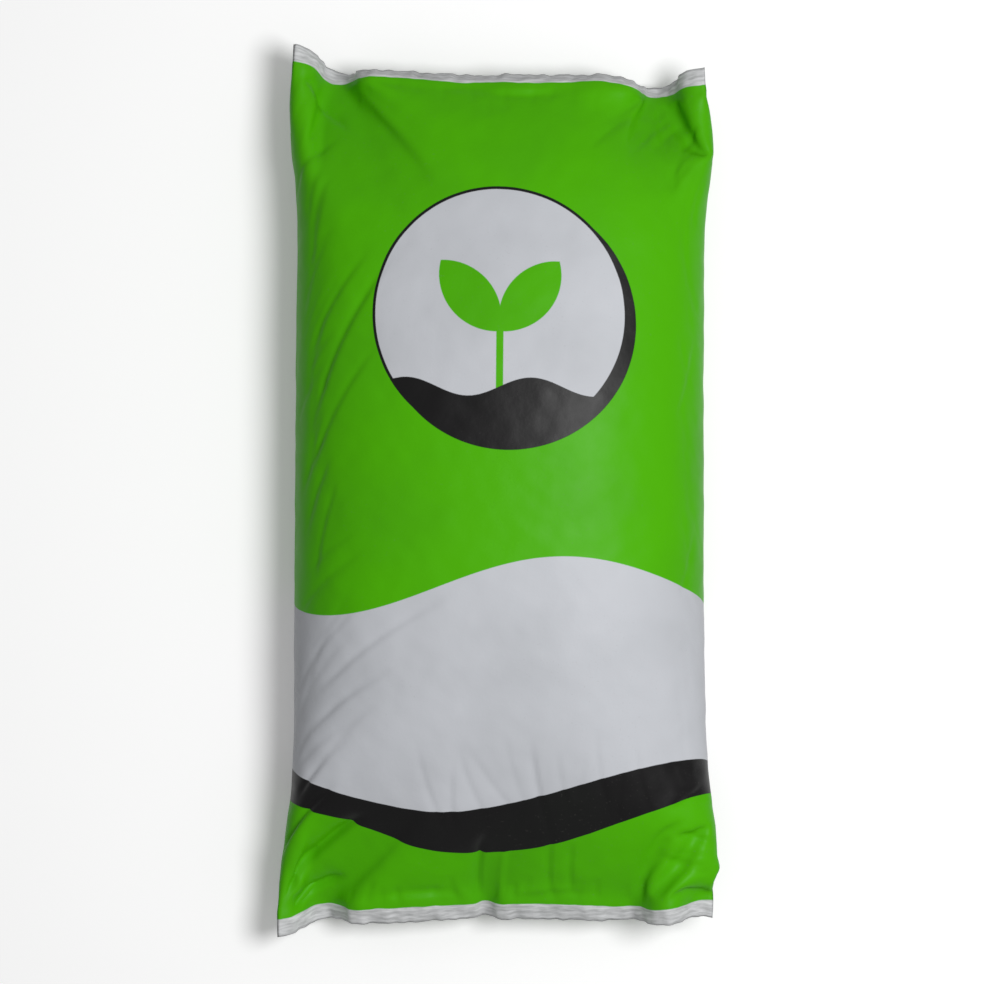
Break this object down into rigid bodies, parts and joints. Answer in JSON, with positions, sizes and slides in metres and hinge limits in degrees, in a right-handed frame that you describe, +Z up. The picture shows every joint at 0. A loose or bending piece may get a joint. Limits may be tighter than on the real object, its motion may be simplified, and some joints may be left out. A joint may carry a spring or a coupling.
{
  "type": "compost bag",
  "caption": "Filled pillow bag of green film for compost, lying on its back, welded flat across both ends with flared corners and gathered folds.",
  "frame": {"origin": "middle of the underside, on the floor", "axes": "+Z up through the front panel, +Y along the bag towards its head, +X to the right as the front panel is read"},
  "size_m": [0.4386, 0.895, 0.16],
  "materials": {
    "film": "printed polyethylene film, soft gloss, creased, with bare welded strips at the ends"
  },
  "bodies": {
    "root": {"filled_bag": "film"}
  },
  "joints": []
}
